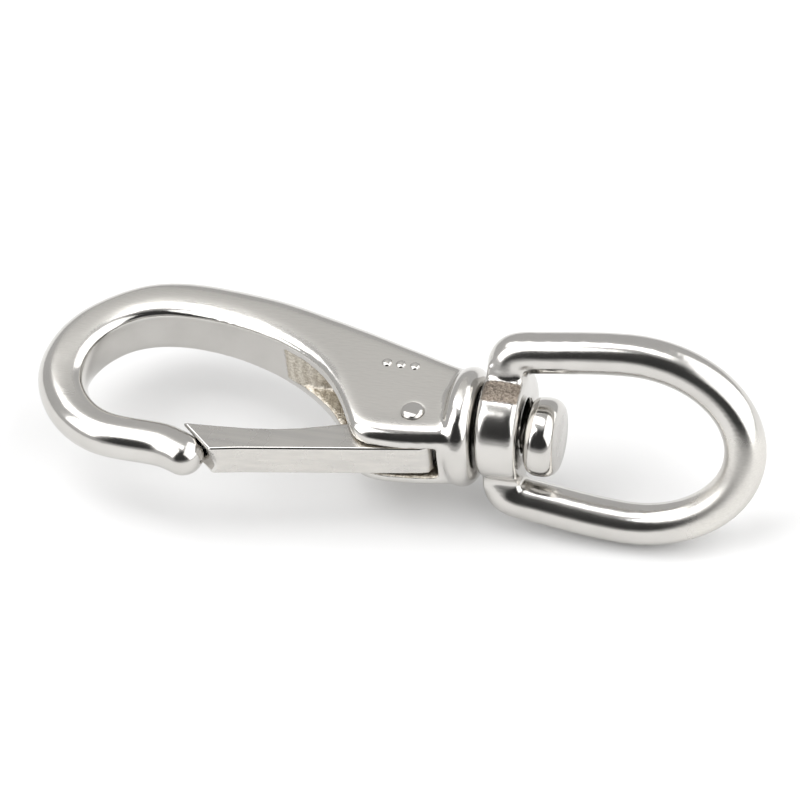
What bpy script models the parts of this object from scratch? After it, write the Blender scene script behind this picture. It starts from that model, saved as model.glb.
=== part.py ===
"""Swivel hook: cast stainless snap hook with a sprung gate and a swivelling eye.

Lengths below are millimetres in the hook's own frame, and become metres when a mesh is made:
X runs along the swivel axis towards the eye, Y towards the hook's back (spine), Z out of
the hook's flat side. The collar's middle is the hook frame's zero point. At the end every
piece moves together so that the row's origin is the middle of the underside.
"""
import math

import bmesh
import bpy
from mathutils import Matrix, Vector

MM = 0.001
SHARP_ANGLE = 38.0               # edges sharper than this keep a crisp line, degrees

# Hook body ------------------------------------------------------------------------------
# Cross-sections from the nose tip, round the bow and along the spine to the neck.
# inner, outer: the two edges of the section in plan; half: half its thickness;
# flat: half height of the flat inner face; bulge: how far that face swells inwards;
# r_in, r_out: how far the top surface takes to round over on each side;
# side: half height of the upright outer side; crown: 0.5 round shoulder, 1 shallow one.
SECTION_KEYS = ("inner", "outer", "half", "flat", "bulge", "r_in", "r_out", "side", "crown")
SECTIONS = (
    ((-34.55, -8.90), (-36.80, -13.95), 2.75, 0.30, 0.02, 2.70, 2.70, 0.10, 0.50),
    ((-37.60, -7.55), (-38.80, -13.15), 2.85, 0.30, 0.02, 2.80, 2.80, 0.10, 0.50),
    ((-40.60, -7.25), (-41.00, -12.95), 2.85, 0.30, 0.02, 2.80, 2.80, 0.10, 0.50),
    ((-43.80, -7.20), (-43.80, -12.90), 2.85, 0.30, 0.02, 2.80, 2.80, 0.10, 0.50),
    ((-46.90, -6.90), (-48.30, -12.50), 2.90, 0.50, 0.05, 2.80, 2.80, 0.10, 0.50),
    ((-49.30, -5.60), (-52.70, -10.40), 3.00, 1.20, 0.25, 2.80, 2.95, 0.15, 0.52),
    ((-51.00, -3.60), (-56.40, -6.80), 3.15, 1.90, 0.50, 2.70, 3.10, 0.20, 0.58),
    ((-52.00, -1.20), (-58.80, -2.10), 3.30, 2.30, 0.60, 2.80, 3.20, 0.25, 0.65),
    ((-52.00, 1.90), (-58.98, 2.98), 3.60, 2.45, 0.45, 2.50, 3.40, 0.30, 0.62),
    ((-50.90, 4.90), (-57.23, 8.21), 3.80, 2.60, 0.30, 2.60, 3.60, 0.30, 0.60),
    ((-48.70, 7.60), (-53.62, 12.33), 3.95, 2.80, 0.20, 2.70, 3.60, 0.30, 0.60),
    ((-45.60, 9.30), (-48.86, 15.62), 4.10, 3.00, 0.05, 2.90, 3.60, 0.30, 0.62),
    ((-42.00, 9.90), (-43.53, 17.00), 4.15, 3.10, 0.00, 3.10, 3.60, 0.30, 0.68),
    ((-38.00, 9.80), (-38.19, 17.05), 4.15, 3.25, 0.00, 3.20, 3.60, 0.35, 0.78),
    ((-34.00, 9.20), (-32.83, 16.41), 4.25, 3.45, 0.00, 3.20, 3.50, 0.50, 0.88),
    ((-30.00, 8.10), (-27.53, 15.41), 4.40, 3.65, 0.00, 3.10, 3.30, 0.80, 0.90),
    ((-26.00, 6.50), (-22.50, 13.75), 4.62, 3.90, 0.00, 2.90, 3.10, 1.20, 0.80),
    ((-22.00, 4.10), (-17.90, 12.15), 4.90, 4.15, 0.00, 2.50, 2.90, 1.70, 0.66),
    ((-19.00, 1.50), (-14.10, 10.75), 5.10, 4.45, 0.00, 2.40, 2.70, 2.10, 0.55),
    ((-16.60, -1.60), (-10.90, 9.55), 5.20, 4.50, 0.00, 2.20, 2.60, 2.40, 0.50),
    ((-14.80, -4.80), (-8.30, 8.65), 5.25, 4.30, 0.00, 2.20, 2.50, 2.60, 0.50),
    ((-13.30, -7.20), (-6.10, 7.95), 5.25, 3.70, 0.00, 2.60, 2.50, 2.60, 0.50),
    ((-10.80, -8.00), (-4.50, 7.40), 5.25, 3.20, 0.00, 2.90, 2.50, 2.60, 0.50),
    ((-6.60, -7.85), (-3.20, 7.05), 5.25, 3.10, 0.00, 2.90, 2.50, 2.60, 0.50),
    ((-2.90, -7.30), (-2.10, 6.70), 5.25, 3.10, 0.00, 2.90, 2.50, 2.60, 0.50),
    ((-0.60, -6.90), (-0.60, 6.50), 5.25, 3.10, 0.00, 2.90, 2.50, 2.60, 0.50),
)
SECTION_STEPS = 3                # rings made between two neighbouring cross-sections
SHOULDER_STEPS = 5               # facets over each rounded shoulder
NOSE_CAP_STEPS = 5               # rings that close the round nose
NOSE_RADIUS = 2.75

COLLAR_RADIUS = 7.95
COLLAR_HALF_LENGTH = 2.0
NECK_RADIUS = 6.0                # fillet cone between the head and the collar
NECK_LENGTH = 1.3

SLOT_START_X = -27.2             # pocket in the spine that swallows the gate
SLOT_END_X = -2.4
SLOT_FLOOR_Y = 6.1
SLOT_FLOOR_BREAK_X = -15.5       # the floor falls from here towards the neck
SLOT_FLOOR_NECK_Y = 3.4
SLOT_HALF_WIDTH = 2.75

PIN_X = -6.2                     # gate hinge pin, parallel to Z
PIN_Y = -3.2
PIN_RADIUS = 0.95
PIN_HOLE_RADIUS = 1.15
PIN_HEAD_RADIUS = 1.5
PIN_HEAD_HEIGHT = 0.5
CHEEK_HALF_THICKNESS = 5.25      # the flat outsides of the two cheeks are at +/- this
SEAT_GAP = 0.04

SIZE_PIP_COUNT = 3               # raised size pips on the upper cheek
SIZE_PIP_PITCH = 1.9
SIZE_PIP_RADIUS = 0.62
SIZE_PIP_HEIGHT = 0.25
SIZE_PIP_CENTRE = (-9.8, 4.6)

# Gate -----------------------------------------------------------------------------------
GATE_HALF_THICKNESS = 2.45
GATE_OUTLINE = (                 # plan outline of the closed gate, anticlockwise
    (-31.80, -11.95), (-28.00, -11.15), (-22.00, -10.12), (-16.00, -9.10), (-10.00, -8.08),
    (-4.60, -7.16), (-3.75, -6.85), (-3.25, -6.10), (-3.15, -5.10), (-3.20, -3.20),
    (-3.45, -2.00), (-4.30, -0.90), (-5.50, -0.35), (-6.90, -0.35), (-8.20, -0.95),
    (-10.20, -2.10), (-12.60, -3.30), (-15.00, -4.25), (-18.00, -5.25), (-21.00, -6.15),
    (-24.00, -6.80), (-28.00, -7.35), (-32.00, -7.65), (-36.50, -7.90),
)
GATE_EDGE_BREAK = 0.4
NOSE_SADDLE_RADIUS = 3.12        # round hollow in the gate's end that sits on the nose
NOSE_SADDLE_START = (-38.6, -9.35)
NOSE_SADDLE_END = (-30.5, -16.25)
GATE_FORK_HALF_WIDTH = 1.5       # the spring's chamber in the gate's heel
GATE_FORK_X = (-13.0, -2.0)
GATE_FORK_Y = (-5.75, 1.0)
GATE_PIN_HOLE_RADIUS = 1.2

# Gate spring ----------------------------------------------------------------------------
WIRE_RADIUS = 0.3
COIL_RADIUS = 1.7
COIL_HEIGHT = 1.9
COIL_START_ANGLE = 279.0         # where the gate's leg meets the coil, degrees
COIL_SWEEP_ANGLE = 861.0         # more than two turns, up to where the slot's leg starts
COIL_STEPS = 40
GATE_LEG_LENGTH = 5.2
SLOT_LEG_LENGTH = 10.6

# Swivel stud ----------------------------------------------------------------------------
STUD_RADIUS = 2.1
STUD_BORE_RADIUS = 2.35
STUD_TAIL_RADIUS = 2.45
STUD_TAIL_X = (-3.1, -2.45)
STUD_HEAD_RADIUS = 5.25
STUD_HEAD_FLAT_RADIUS = 4.1
STUD_HEAD_X = (8.45, 12.5)

# Swivel eye -----------------------------------------------------------------------------
EYE_TURN = 64.0                  # how far the eye's plane is turned out of the hook's, degrees
EYE_LOOSENESS = 1.2              # the loose ring rests off the stud's centre by this much
EYE_RING_X = (2.45, 7.95)
EYE_RING_RADIUS = 7.4
EYE_RING_BORE_RADIUS = 3.6
EYE_RING_EDGE = 0.9
EYE_BAR_RADIUS = 2.8
# Centre line of one leg: distance along the axis, away from the axis, and the bar's radius.
EYE_LEG = (
    (5.10, 5.20, 2.60), (5.05, 6.60, 2.65), (5.05, 7.60, 2.95), (5.25, 8.50, 2.90),
    (5.95, 9.40, 2.80), (7.30, 10.00, 2.80), (9.60, 10.40, 2.80), (13.00, 10.90, 2.80),
    (17.50, 11.45, 2.80),
)
EYE_END_CENTRE_X = 22.0          # the closed end is half an ellipse about this point
EYE_END_SEMI_LENGTH = 15.1
EYE_END_HALF_WIDTH = 11.75
EYE_END_STEPS = 22
EYE_BAR_FACETS = 16

STEEL = {"base": (0.60, 0.59, 0.57), "roughness": 0.28}
STEEL_SPRING = {"base": (0.45, 0.45, 0.46), "roughness": 0.35}


def clear_scene():
    for old in list(bpy.data.objects):
        bpy.data.objects.remove(old)


def make_material(name, look):
    material = bpy.data.materials.new(name)
    material.use_nodes = True
    shader = material.node_tree.nodes["Principled BSDF"]
    shader.inputs["Base Color"].default_value = (*look["base"], 1.0)
    shader.inputs["Metallic"].default_value = 1.0
    shader.inputs["Roughness"].default_value = look["roughness"]
    return material


def add_object(name, mesh_bm, material=None, smooth=True):
    """Turns a bmesh in millimetres into a linked object in metres."""
    bmesh.ops.recalc_face_normals(mesh_bm, faces=mesh_bm.faces)
    bmesh.ops.scale(mesh_bm, vec=(MM, MM, MM), verts=mesh_bm.verts)
    mesh = bpy.data.meshes.new(name)
    mesh_bm.to_mesh(mesh)
    mesh_bm.free()
    for polygon in mesh.polygons:
        polygon.use_smooth = smooth
    mesh.set_sharp_from_angle(angle=math.radians(SHARP_ANGLE))
    if material:
        mesh.materials.append(material)
    obj = bpy.data.objects.new(name, mesh)
    bpy.context.scene.collection.objects.link(obj)
    return obj


def add_boolean(target, other, operation):
    """Joins or cuts with a hidden helper object."""
    modifier = target.modifiers.new(other.name, "BOOLEAN")
    modifier.operation = operation
    modifier.solver = "EXACT"
    modifier.object = other
    other.hide_render = True
    other.display_type = "WIRE"


def apply_modifiers(obj):
    """Replaces the object's mesh with what its modifiers make of it."""
    depsgraph = bpy.context.evaluated_depsgraph_get()
    finished = bpy.data.meshes.new_from_object(obj.evaluated_get(depsgraph))
    helpers = [m.object for m in obj.modifiers if m.type == "BOOLEAN"]
    obj.modifiers.clear()
    finished.set_sharp_from_angle(angle=math.radians(SHARP_ANGLE))
    obj.data = finished
    for helper in helpers:
        bpy.data.objects.remove(helper)


def catmull_rom(p0, p1, p2, p3, t):
    """Point between p1 and p2 on the smooth curve through four values or vectors."""
    return 0.5 * (2.0 * p1 + (p2 - p0) * t + (2.0 * p0 - 5.0 * p1 + 4.0 * p2 - p3) * t * t
                  + (3.0 * p1 - p0 - 3.0 * p2 + p3) * t * t * t)


def smooth_path(points, steps):
    """Points on the smooth curve through the given ones, with `steps` between each pair."""
    count = len(points)
    path = []
    for i in range(count - 1):
        before = points[max(i - 1, 0)]
        after = points[min(i + 2, count - 1)]
        for k in range(steps):
            path.append(catmull_rom(before, points[i], points[i + 1], after, k / steps))
    path.append(points[-1].copy())
    return path


def bridge_rings(mesh_bm, rings):
    """Skins a list of equally long closed vertex rings."""
    for ring, following in zip(rings, rings[1:]):
        for i in range(len(ring)):
            j = (i + 1) % len(ring)
            mesh_bm.faces.new((ring[i], ring[j], following[j], following[i]))


def ring_middle(ring):
    """Mean position of a ring's vertices."""
    return sum((v.co for v in ring), Vector()) / len(ring)


def cap_ring(mesh_bm, ring):
    """Closes a ring with a fan around its middle."""
    centre = mesh_bm.verts.new(ring_middle(ring))
    for i in range(len(ring)):
        mesh_bm.faces.new((ring[i], ring[(i + 1) % len(ring)], centre))


def turned(name, profile, facets, material=None, axis_offset=Vector()):
    """Solid of revolution about X. The profile lists (x, radius) from one end to the other."""
    mesh_bm = bmesh.new()
    rings = []
    for x, radius in profile:
        ring = []
        for k in range(facets):
            angle = 2.0 * math.pi * k / facets
            offset = Vector((x, radius * math.cos(angle), radius * math.sin(angle)))
            ring.append(mesh_bm.verts.new(offset + axis_offset))
        rings.append(ring)
    bridge_rings(mesh_bm, rings)
    cap_ring(mesh_bm, rings[0])
    cap_ring(mesh_bm, rings[-1])
    return add_object(name, mesh_bm, material)


def rod(name, start, end, radius, facets=24):
    """Plain cylinder between two points."""
    axis = end - start
    mesh_bm = bmesh.new()
    bmesh.ops.create_cone(mesh_bm, cap_ends=True, segments=facets, radius1=radius,
                          radius2=radius, depth=axis.length)
    turn = axis.to_track_quat("Z", "Y").to_matrix().to_4x4()
    place = Matrix.Translation((start + end) / 2.0) @ turn
    bmesh.ops.transform(mesh_bm, matrix=place, verts=mesh_bm.verts)
    return add_object(name, mesh_bm)


def prism(outline, low_z, high_z):
    """Upright prism over a plan outline."""
    mesh_bm = bmesh.new()
    ring = [mesh_bm.verts.new((x, y, low_z)) for x, y in outline]
    bottom = mesh_bm.faces.new(ring)
    lifted = bmesh.ops.extrude_face_region(mesh_bm, geom=[bottom])
    raised = [v for v in lifted["geom"] if isinstance(v, bmesh.types.BMVert)]
    bmesh.ops.translate(mesh_bm, vec=(0.0, 0.0, high_z - low_z), verts=raised)
    return mesh_bm


def swept_bar(mesh_bm, path, radii, facets, up):
    """Round bar along a path. `up` is a direction that the path never follows."""
    rings = []
    for i, (point, radius) in enumerate(zip(path, radii)):
        ahead = path[min(i + 1, len(path) - 1)] - path[max(i - 1, 0)]
        tangent = ahead.normalized()
        side = tangent.cross(up).normalized()
        top = side.cross(tangent)
        ring = []
        for k in range(facets):
            angle = 2.0 * math.pi * k / facets
            offset = side * math.cos(angle) + top * math.sin(angle)
            ring.append(mesh_bm.verts.new(point + offset * radius))
        rings.append(ring)
    bridge_rings(mesh_bm, rings)
    cap_ring(mesh_bm, rings[0])
    cap_ring(mesh_bm, rings[-1])


def shoulder_height(low, high, crown, part):
    """Height of a rounded shoulder after `part` (0 to 1) of its run."""
    return low + (high - low) * (1.0 - (1.0 - part) ** 2) ** crown


def section_points(dims):
    """Closed outline (distance from the inner edge, height) of one hook cross-section."""
    width = (dims["outer"] - dims["inner"]).length
    face_half = dims["flat"]
    points = []
    for k in (-2, -1, 0, 1, 2):
        height = face_half * k / 2.0
        points.append((dims["bulge"] * (k / 2.0) ** 2, height))
    upper = []
    for k in range(1, SHOULDER_STEPS + 1):
        part = 1.0 - math.cos(0.5 * math.pi * k / SHOULDER_STEPS)
        run = dims["bulge"] + (dims["r_in"] - dims["bulge"]) * part
        upper.append((run, shoulder_height(face_half, dims["half"], dims["crown"], part)))
    upper.append((0.5 * (dims["r_in"] + width - dims["r_out"]), dims["half"]))
    for k in range(SHOULDER_STEPS + 1):
        angle = 0.5 * math.pi * k / SHOULDER_STEPS
        run = width - dims["r_out"] * (1.0 - math.sin(angle))
        height = dims["side"] + (dims["half"] - dims["side"]) * math.cos(angle)
        upper.append((run, height))
    points.extend(upper)
    points.extend((run, -height) for run, height in reversed(upper))
    return points


def section_stations():
    """Cross-sections with smooth in-between ones."""
    stations = [dict(zip(SECTION_KEYS, row)) for row in SECTIONS]
    for station in stations:
        station["inner"] = Vector(station["inner"])
        station["outer"] = Vector(station["outer"])
    columns = {}
    for key in SECTION_KEYS:
        columns[key] = [station[key] for station in stations]
    dense = []
    for i in range(len(stations) - 1):
        before = max(i - 1, 0)
        after = min(i + 2, len(stations) - 1)
        for k in range(SECTION_STEPS):
            t = k / SECTION_STEPS
            dims = {}
            for key, column in columns.items():
                corners = (column[before], column[i], column[i + 1], column[after])
                dims[key] = catmull_rom(*corners, t)
            dense.append(dims)
    dense.append(stations[-1])
    return dense


def hook_loft():
    """Nose, bow, spine and head as one skin, with a round cap on the nose."""
    mesh_bm = bmesh.new()
    rings = []
    for dims in section_stations():
        across = (dims["outer"] - dims["inner"]).normalized()
        ring = []
        for run, height in section_points(dims):
            plan = dims["inner"] + across * run
            ring.append(mesh_bm.verts.new((plan.x, plan.y, height)))
        rings.append(ring)
    first = rings[0]
    centre = ring_middle(first)
    normal = (first[0].co - centre).cross(first[4].co - centre).normalized()
    ahead = centre - ring_middle(rings[1])
    forward = normal if normal.dot(ahead) > 0.0 else -normal
    cap_rings = []
    for k in range(1, NOSE_CAP_STEPS):
        angle = 0.5 * math.pi * k / NOSE_CAP_STEPS
        rise = forward * NOSE_RADIUS * math.sin(angle)
        ring = []
        for vert in first:
            offset = (vert.co - centre) * math.cos(angle)
            ring.append(mesh_bm.verts.new(centre + offset + rise))
        cap_rings.append(ring)
    rings = cap_rings[::-1] + rings
    bridge_rings(mesh_bm, rings)
    tip = mesh_bm.verts.new(centre + forward * NOSE_RADIUS)
    for i in range(len(first)):
        mesh_bm.faces.new((rings[0][i], rings[0][(i + 1) % len(first)], tip))
    cap_ring(mesh_bm, rings[-1])
    return mesh_bm


def collar_profile():
    """Rounded flange with a short fillet cone on the head's side."""
    profile = [(-COLLAR_HALF_LENGTH - NECK_LENGTH, NECK_RADIUS - 1.2)]
    profile.append((-COLLAR_HALF_LENGTH - 0.35, NECK_RADIUS - 0.35))
    for k in range(11):
        angle = math.pi * (k / 10.0)
        x = -COLLAR_HALF_LENGTH * math.cos(angle)
        profile.append((x, COLLAR_RADIUS - COLLAR_HALF_LENGTH * (1.0 - math.sin(angle))))
    profile.append((COLLAR_HALF_LENGTH, 3.2))
    return profile


def slot_outline():
    """Plan of the pocket: open towards the gate, with a floor that falls to the neck."""
    return (
        (SLOT_START_X - 3.0, -12.0), (SLOT_END_X, -12.0), (SLOT_END_X, SLOT_FLOOR_NECK_Y),
        (SLOT_FLOOR_BREAK_X, SLOT_FLOOR_Y - 0.4), (SLOT_START_X, SLOT_FLOOR_Y),
        (SLOT_START_X - 3.0, SLOT_FLOOR_Y - 0.3),
    )


def dome(name, centre, radius, height, up):
    """Shallow round bump standing on a flat face, with a short root below it."""
    profile = [(-0.6, radius), (0.0, radius)]
    for k in range(1, 5):
        angle = 0.5 * math.pi * k / 5
        profile.append((height * math.sin(angle), radius * math.cos(angle)))
    mesh_bm = bmesh.new()
    rings = []
    for level, size in profile:
        ring = []
        for k in range(16):
            angle = 2.0 * math.pi * k / 16
            x = centre[0] + size * math.cos(angle)
            y = centre[1] + size * math.sin(angle)
            ring.append(mesh_bm.verts.new((x, y, centre[2] + up * level)))
        rings.append(ring)
    bridge_rings(mesh_bm, rings)
    cap_ring(mesh_bm, rings[0])
    cap_ring(mesh_bm, rings[-1])
    return add_object(name, mesh_bm)


def build_hook_body(steel):
    body = add_object("hook_body", hook_loft(), steel)
    add_boolean(body, turned("collar_tool", collar_profile(), 40), "UNION")
    for k in range(SIZE_PIP_COUNT):
        x = SIZE_PIP_CENTRE[0] + SIZE_PIP_PITCH * (k - (SIZE_PIP_COUNT - 1) / 2.0)
        spot = (x, SIZE_PIP_CENTRE[1], CHEEK_HALF_THICKNESS)
        pip = dome(f"pip_tool_{k}", spot, SIZE_PIP_RADIUS, SIZE_PIP_HEIGHT, 1.0)
        add_boolean(body, pip, "UNION")
    slot_bm = prism(slot_outline(), -SLOT_HALF_WIDTH, SLOT_HALF_WIDTH)
    add_boolean(body, add_object("slot_tool", slot_bm), "DIFFERENCE")
    pin_low = Vector((PIN_X, PIN_Y, -8.0))
    pin_high = Vector((PIN_X, PIN_Y, 8.0))
    add_boolean(body, rod("pin_hole_tool", pin_low, pin_high, PIN_HOLE_RADIUS), "DIFFERENCE")
    bore_start = Vector((-4.0, 0.0, 0.0))
    bore_end = Vector((4.0, 0.0, 0.0))
    bore = rod("stud_bore_tool", bore_start, bore_end, STUD_BORE_RADIUS, 32)
    add_boolean(body, bore, "DIFFERENCE")
    apply_modifiers(body)
    return body


def build_gate(steel):
    gate_bm = prism(GATE_OUTLINE, -GATE_HALF_THICKNESS, GATE_HALF_THICKNESS)
    gate = add_object("gate", gate_bm, steel, smooth=False)
    bevel = gate.modifiers.new("edge_break", "BEVEL")
    bevel.width = GATE_EDGE_BREAK * MM
    bevel.segments = 1
    bevel.limit_method = "ANGLE"
    bevel.angle_limit = math.radians(50.0)
    start = Vector((*NOSE_SADDLE_START, 0.0))
    end = Vector((*NOSE_SADDLE_END, 0.0))
    saddle = rod("saddle_tool", start, end, NOSE_SADDLE_RADIUS, 28)
    add_boolean(gate, saddle, "DIFFERENCE")
    fork_outline = (
        (GATE_FORK_X[0], GATE_FORK_Y[0] - 1.3), (GATE_FORK_X[1], GATE_FORK_Y[0]),
        (GATE_FORK_X[1], GATE_FORK_Y[1]), (GATE_FORK_X[0], GATE_FORK_Y[1]),
    )
    fork_bm = prism(fork_outline, -GATE_FORK_HALF_WIDTH, GATE_FORK_HALF_WIDTH)
    add_boolean(gate, add_object("fork_tool", fork_bm), "DIFFERENCE")
    pin_low = Vector((PIN_X, PIN_Y, -4.0))
    pin_high = Vector((PIN_X, PIN_Y, 4.0))
    hole = rod("gate_pin_tool", pin_low, pin_high, GATE_PIN_HOLE_RADIUS)
    add_boolean(gate, hole, "DIFFERENCE")
    apply_modifiers(gate)
    return gate


def build_gate_pin(steel):
    """Straight rivet with a domed head on each cheek."""
    profile = []
    seat = CHEEK_HALF_THICKNESS + SEAT_GAP
    for k in range(1, 5):
        angle = 0.5 * math.pi * k / 4
        height = seat + PIN_HEAD_HEIGHT * math.cos(angle)
        profile.append((height, PIN_HEAD_RADIUS * math.sin(angle)))
    profile.append((seat, PIN_RADIUS))
    profile.append((-seat, PIN_RADIUS))
    for k in range(4, 0, -1):
        angle = 0.5 * math.pi * k / 4
        height = seat + PIN_HEAD_HEIGHT * math.cos(angle)
        profile.append((-height, PIN_HEAD_RADIUS * math.sin(angle)))
    pin_bm = bmesh.new()
    rings = []
    for height, radius in profile:
        ring = []
        for k in range(24):
            angle = 2.0 * math.pi * k / 24
            x = PIN_X + radius * math.cos(angle)
            y = PIN_Y + radius * math.sin(angle)
            ring.append(pin_bm.verts.new((x, y, height)))
        rings.append(ring)
    bridge_rings(pin_bm, rings)
    cap_ring(pin_bm, rings[0])
    cap_ring(pin_bm, rings[-1])
    return add_object("gate_pin", pin_bm, steel)


def build_gate_spring(steel):
    """Torsion spring: a coil round the pin, one leg along the gate, one on the slot's floor."""
    path = []
    for k in range(COIL_STEPS + 1):
        angle = math.radians(COIL_START_ANGLE + COIL_SWEEP_ANGLE * k / COIL_STEPS)
        height = COIL_HEIGHT * (k / COIL_STEPS - 0.5)
        x = PIN_X + COIL_RADIUS * math.cos(angle)
        y = PIN_Y + COIL_RADIUS * math.sin(angle)
        path.append(Vector((x, y, height)))
    first_angle = math.radians(COIL_START_ANGLE)
    last_angle = math.radians(COIL_START_ANGLE + COIL_SWEEP_ANGLE)
    gate_leg = Vector((math.sin(first_angle), -math.cos(first_angle), 0.0))
    slot_leg = Vector((-math.sin(last_angle), math.cos(last_angle), 0.0))
    path.insert(0, path[0] + gate_leg * GATE_LEG_LENGTH)
    path.append(path[-1] + slot_leg * SLOT_LEG_LENGTH)
    spring_bm = bmesh.new()
    swept_bar(spring_bm, path, [WIRE_RADIUS] * len(path), 8, Vector((0.0, 0.0, 1.0)))
    return add_object("gate_spring", spring_bm, steel)


def build_swivel_stud(steel):
    head_start, head_end = STUD_HEAD_X
    round_over = STUD_HEAD_RADIUS - STUD_HEAD_FLAT_RADIUS
    profile = [(STUD_TAIL_X[0], STUD_TAIL_RADIUS - 0.3), (STUD_TAIL_X[0] + 0.3, STUD_TAIL_RADIUS),
               (STUD_TAIL_X[1], STUD_TAIL_RADIUS), (STUD_TAIL_X[1] + 0.1, STUD_RADIUS),
               (head_start, STUD_RADIUS), (head_start, STUD_HEAD_RADIUS - 0.9)]
    for k in range(1, 5):
        angle = 0.5 * math.pi * k / 4
        x = head_start + 1.3 * (1.0 - math.cos(angle))
        profile.append((x, STUD_HEAD_RADIUS - 0.9 * (1.0 - math.sin(angle))))
    for k in range(0, 6):
        angle = 0.5 * math.pi * k / 5
        x = head_end - 1.5 * (1.0 - math.sin(angle))
        profile.append((x, STUD_HEAD_FLAT_RADIUS + round_over * math.cos(angle)))
    return turned("swivel_stud", profile, 36, steel)


def eye_ring_profile():
    low, high = EYE_RING_X
    edge = EYE_RING_EDGE
    profile = [(low, EYE_RING_RADIUS - edge - 0.3)]
    for k in range(4):
        angle = 0.5 * math.pi * k / 3
        x = low + edge * (1.0 - math.cos(angle))
        profile.append((x, EYE_RING_RADIUS - edge * (1.0 - math.sin(angle))))
    for k in range(4):
        angle = 0.5 * math.pi * k / 3
        x = high - edge * (1.0 - math.sin(angle))
        profile.append((x, EYE_RING_RADIUS - edge * (1.0 - math.cos(angle))))
    profile.append((high, EYE_RING_RADIUS - edge - 0.3))
    return profile


def eye_bow_path():
    """Whole bow as (x, distance from the axis, bar radius): leg, closed end, other leg."""
    leg = [Vector(row) for row in EYE_LEG]
    mirrored = [Vector((x, -away, radius)) for x, away, radius in reversed(EYE_LEG)]
    end = []
    for k in range(EYE_END_STEPS + 1):
        angle = math.pi * (0.5 - k / EYE_END_STEPS)
        x = EYE_END_CENTRE_X + EYE_END_SEMI_LENGTH * math.cos(angle)
        end.append(Vector((x, EYE_END_HALF_WIDTH * math.sin(angle), EYE_BAR_RADIUS)))
    first = smooth_path(leg + [end[0]], 3)[:-1]
    last = smooth_path([end[-1]] + mirrored, 3)[1:]
    return first + end + last


def build_swivel_eye(steel):
    turn = math.radians(EYE_TURN)
    plane = Vector((0.0, math.cos(turn), math.sin(turn)))
    normal = Vector((0.0, -math.sin(turn), math.cos(turn)))
    centre = plane * EYE_LOOSENESS
    eye = turned("swivel_eye", eye_ring_profile(), 36, steel, centre)
    bow_bm = bmesh.new()
    bow = eye_bow_path()
    path = [centre + Vector((x, 0.0, 0.0)) + plane * away for x, away, _ in bow]
    swept_bar(bow_bm, path, [radius for _, _, radius in bow], EYE_BAR_FACETS, normal)
    add_boolean(eye, add_object("bow_tool", bow_bm), "UNION")
    bore_start = centre + Vector((EYE_RING_X[0] - 2.0, 0.0, 0.0))
    bore_end = centre + Vector((EYE_RING_X[1] + 2.0, 0.0, 0.0))
    bore = rod("eye_bore_tool", bore_start, bore_end, EYE_RING_BORE_RADIUS, 32)
    add_boolean(eye, bore, "DIFFERENCE")
    apply_modifiers(eye)
    return eye, centre


def set_origin(obj, point):
    """Moves an object's origin without moving its shape. `point` is in metres."""
    obj.data.transform(Matrix.Translation(-point))
    obj.location = point


def main():
    clear_scene()
    steel = make_material("polished_stainless", STEEL)
    spring_steel = make_material("spring_wire", STEEL_SPRING)
    body = build_hook_body(steel)
    gate = build_gate(steel)
    pin = build_gate_pin(steel)
    spring = build_gate_spring(spring_steel)
    stud = build_swivel_stud(steel)
    eye, eye_centre = build_swivel_eye(steel)
    pieces = (body, gate, pin, spring, stud, eye)
    corners = [v.co for piece in pieces for v in piece.data.vertices]
    low = Vector([min(c[i] for c in corners) for i in range(3)])
    high = Vector([max(c[i] for c in corners) for i in range(3)])
    shift = Vector((-0.5 * (low.x + high.x), -0.5 * (low.y + high.y), -low.z))
    for piece in pieces:
        piece.data.transform(Matrix.Translation(shift))
    set_origin(gate, Vector((PIN_X * MM, PIN_Y * MM, 0.0)) + shift)
    set_origin(spring, Vector((PIN_X * MM, PIN_Y * MM, 0.0)) + shift)
    set_origin(eye, eye_centre * MM + shift)
    print("shift of the hook frame (m):", [round(value, 6) for value in shift])
    print("size (m):", [round(value, 6) for value in high - low])


main()
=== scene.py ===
"""Swivel hook: the visual model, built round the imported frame.

Lengths in the tables are millimetres in the hook's own frame: X along the swivel axis
towards the eye, Y towards the spine, Z out of the flat side, zero at the collar's middle.
`place` turns them into metres in the row's frame.
"""

import math

import bmesh
import bpy
from mathutils import Matrix, Vector


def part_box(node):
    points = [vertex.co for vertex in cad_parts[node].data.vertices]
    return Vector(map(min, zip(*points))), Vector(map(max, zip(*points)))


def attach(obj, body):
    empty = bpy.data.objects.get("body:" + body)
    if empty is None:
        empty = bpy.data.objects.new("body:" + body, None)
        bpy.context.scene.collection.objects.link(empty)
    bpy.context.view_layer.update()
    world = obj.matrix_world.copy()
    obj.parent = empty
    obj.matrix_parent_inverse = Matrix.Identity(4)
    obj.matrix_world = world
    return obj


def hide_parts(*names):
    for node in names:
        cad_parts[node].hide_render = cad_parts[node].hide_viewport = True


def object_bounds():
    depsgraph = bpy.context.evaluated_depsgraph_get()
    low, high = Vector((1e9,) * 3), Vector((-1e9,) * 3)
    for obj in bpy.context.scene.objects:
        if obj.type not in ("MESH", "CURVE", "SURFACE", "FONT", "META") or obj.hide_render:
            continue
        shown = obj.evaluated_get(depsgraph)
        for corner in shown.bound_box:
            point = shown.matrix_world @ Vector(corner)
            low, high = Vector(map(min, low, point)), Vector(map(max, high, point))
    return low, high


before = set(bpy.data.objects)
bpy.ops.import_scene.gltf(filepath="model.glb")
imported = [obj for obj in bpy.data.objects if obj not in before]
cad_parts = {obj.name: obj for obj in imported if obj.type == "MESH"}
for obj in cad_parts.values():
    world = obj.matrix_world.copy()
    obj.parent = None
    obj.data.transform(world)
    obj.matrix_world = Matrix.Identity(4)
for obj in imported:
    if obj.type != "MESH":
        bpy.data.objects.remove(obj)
CAD_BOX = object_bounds()

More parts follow.
